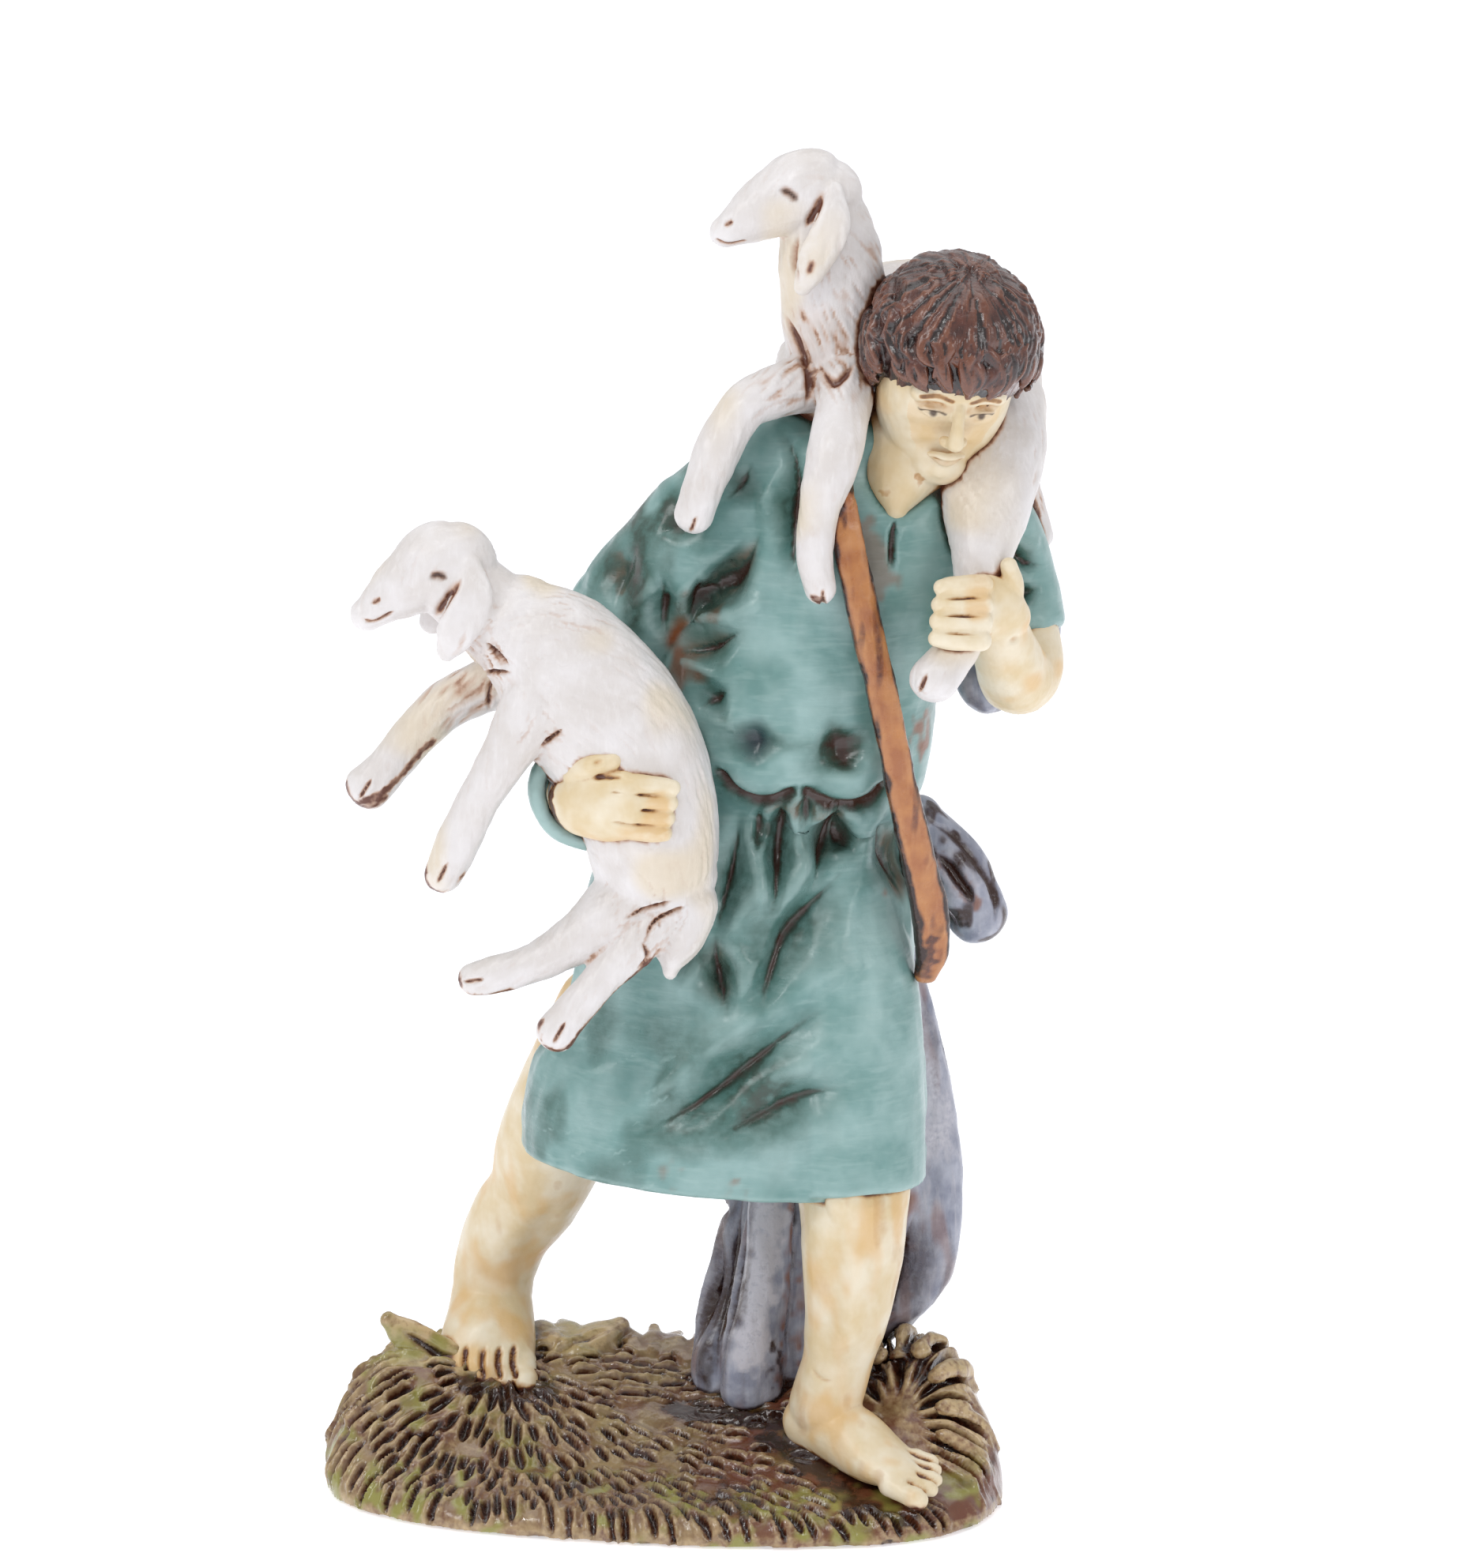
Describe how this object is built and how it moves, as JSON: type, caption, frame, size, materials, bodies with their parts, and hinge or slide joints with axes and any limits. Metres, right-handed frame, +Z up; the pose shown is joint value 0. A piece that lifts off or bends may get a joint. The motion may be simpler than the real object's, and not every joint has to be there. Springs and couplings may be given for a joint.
{
  "type": "nativity shepherd figurine",
  "caption": "Painted nativity shepherd striding on a grassy base, one lamb across the shoulders held by a hind leg and one lamb carried under the right arm.",
  "frame": {"origin": "middle of the flat underside of the grassy base", "axes": "+X to the shepherd's left hand, +Y to the shepherd's back, +Z up"},
  "size_m": [0.058, 0.032, 0.1081],
  "materials": {
    "painted_casting": "cast resin-like plastic, hand painted with a brown wash and a satin varnish"
  },
  "bodies": {
    "root": {"shepherd_figurine": "painted_casting"}
  },
  "joints": []
}
